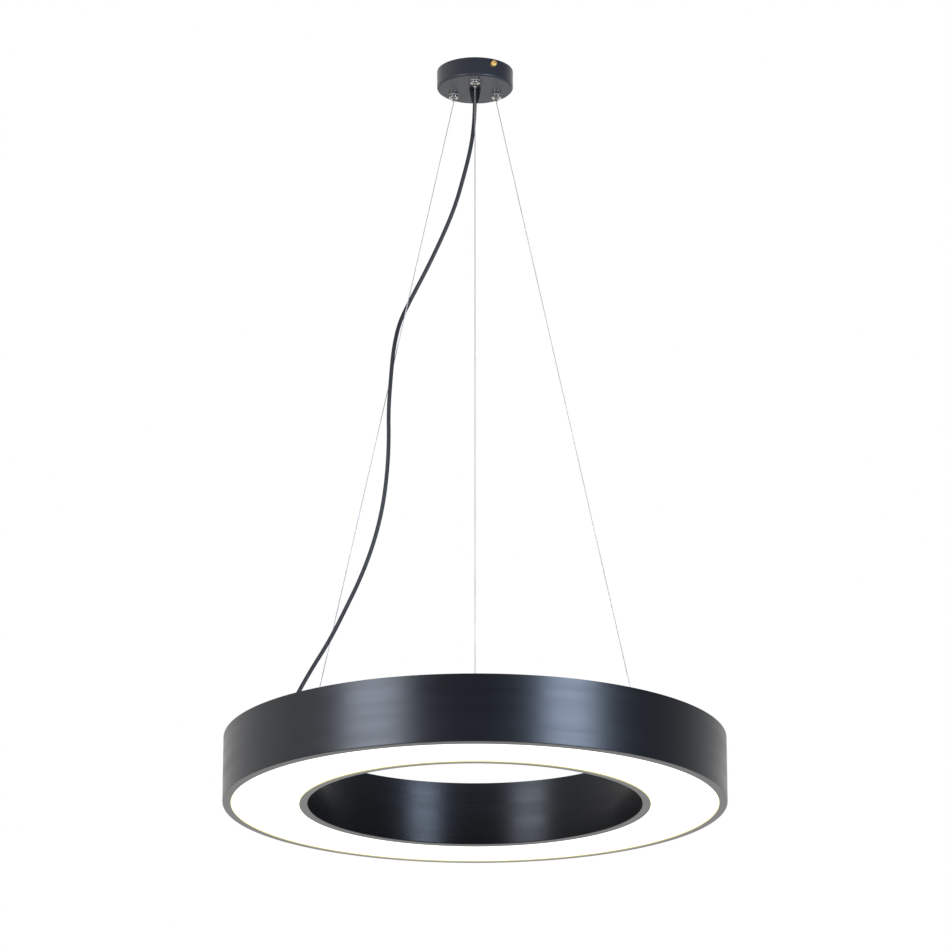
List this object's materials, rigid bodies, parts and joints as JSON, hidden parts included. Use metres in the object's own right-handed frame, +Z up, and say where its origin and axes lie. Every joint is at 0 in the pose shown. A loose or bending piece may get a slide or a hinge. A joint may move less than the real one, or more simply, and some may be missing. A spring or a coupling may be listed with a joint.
{
  "type": "led ring pendant light",
  "caption": "Ring-shaped LED pendant with a glowing opal underside, hung from a small round ceiling canopy on thin steel wires with push-button grippers and a loose power cord.",
  "frame": {"origin": "on the ceiling plane, at the bracket's top face, midway between its two screw slots", "axes": "+Z up into the ceiling, Y along the bracket through both slots and both side screws, X across it"},
  "size_m": [0.6, 0.6, 0.944],
  "materials": {
    "satin_black": "satin",
    "black_screw": "satin",
    "zinc_steel": "zinc plated",
    "nickel": "nickel plated",
    "bright_steel": "bright",
    "wire_steel": "stranded",
    "brass": "polished",
    "black_nylon": "moulded",
    "black_cord": "matt",
    "lead_white": "smooth",
    "block_white": "moulded",
    "opal": "opal",
    "tray_aluminium": "rolled",
    "board_white": "lacquered",
    "chip_yellow": "cast"
  },
  "bodies": {
    "canopy": {"ceiling_bracket": "zinc_steel", "canopy_cup": "satin_black", "earth_screw": "brass", "terminal_block": "block_white", "terminal_screw": "zinc_steel", "canopy_leads": "lead_white", "cord_grip": "black_nylon", "cord_grip_cap": "black_nylon", "cord_grip_nut": "black_nylon", "gripper_body_1": "nickel", "gripper_body_2": "nickel", "gripper_body_3": "nickel", "gripper_outer_nuts": "nickel", "gripper_inner_nuts": "nickel", "gripper_caps": "nickel", "gripper_spring_1": "bright_steel", "gripper_spring_2": "bright_steel", "gripper_spring_3": "bright_steel", "suspension_wire_1": "wire_steel", "suspension_wire_2": "wire_steel", "suspension_wire_3": "wire_steel", "power_cord": "black_cord"},
    "plunger_1": {"gripper_plunger_1": "nickel", "gripper_balls_1": "bright_steel"},
    "plunger_2": {"gripper_plunger_2": "nickel", "gripper_balls_2": "bright_steel"},
    "plunger_3": {"gripper_plunger_3": "nickel", "gripper_balls_3": "bright_steel"},
    "side_screw_1": {"side_screw_1": "brass"},
    "side_screw_2": {"side_screw_2": "brass"},
    "ring": {"outer_wall": "satin_black", "inner_wall": "satin_black", "diffuser": "opal", "top_cover": "satin_black", "cover_screws": "black_screw", "wire_anchor_1": "nickel", "wire_anchor_2": "nickel", "wire_anchor_3": "nickel", "anchor_nuts": "zinc_steel", "wire_ferrules": "bright_steel", "ring_gland": "black_nylon", "ring_gland_cap": "black_nylon", "ring_gland_nut": "black_nylon", "led_tray": "tray_aluminium", "tray_standoffs": "zinc_steel", "standoff_screws": "black_screw", "tray_screws": "zinc_steel", "led_boards": "board_white", "led_chips": "chip_yellow", "board_links": "lead_white", "led_driver": "block_white", "driver_screws": "zinc_steel", "driver_input_lead": "black_cord", "driver_output_lead": "lead_white"}
  },
  "joints": [
    {"name": "ring_lift", "type": "slide", "parent": "canopy", "child": "ring", "axis": [0, 0, 1], "range_m": [0, 0.4], "deforming": ["suspension_wire_1", "suspension_wire_2", "suspension_wire_3", "power_cord"]},
    {"name": "plunger_1_press", "type": "slide", "parent": "canopy", "child": "plunger_1", "axis": [0, 0, 1], "range_m": [0, 0.002], "stiffness_N_per_m": 500, "springref_m": -0.002, "deforming": ["gripper_spring_1"]},
    {"name": "plunger_2_press", "type": "slide", "parent": "canopy", "child": "plunger_2", "axis": [0, 0, 1], "range_m": [0, 0.002], "stiffness_N_per_m": 500, "springref_m": -0.002, "deforming": ["gripper_spring_2"]},
    {"name": "plunger_3_press", "type": "slide", "parent": "canopy", "child": "plunger_3", "axis": [0, 0, 1], "range_m": [0, 0.002], "stiffness_N_per_m": 500, "springref_m": -0.002, "deforming": ["gripper_spring_3"]},
    {"name": "side_screw_1_turn", "type": "hinge", "parent": "canopy", "child": "side_screw_1", "pos_m": [0, -0.04765, -0.007], "axis": [0, -1, 0], "range_deg": [0, 720]},
    {"name": "side_screw_2_turn", "type": "hinge", "parent": "canopy", "child": "side_screw_2", "pos_m": [0, 0.04765, -0.007], "axis": [0, 1, 0], "range_deg": [0, 720]}
  ]
}
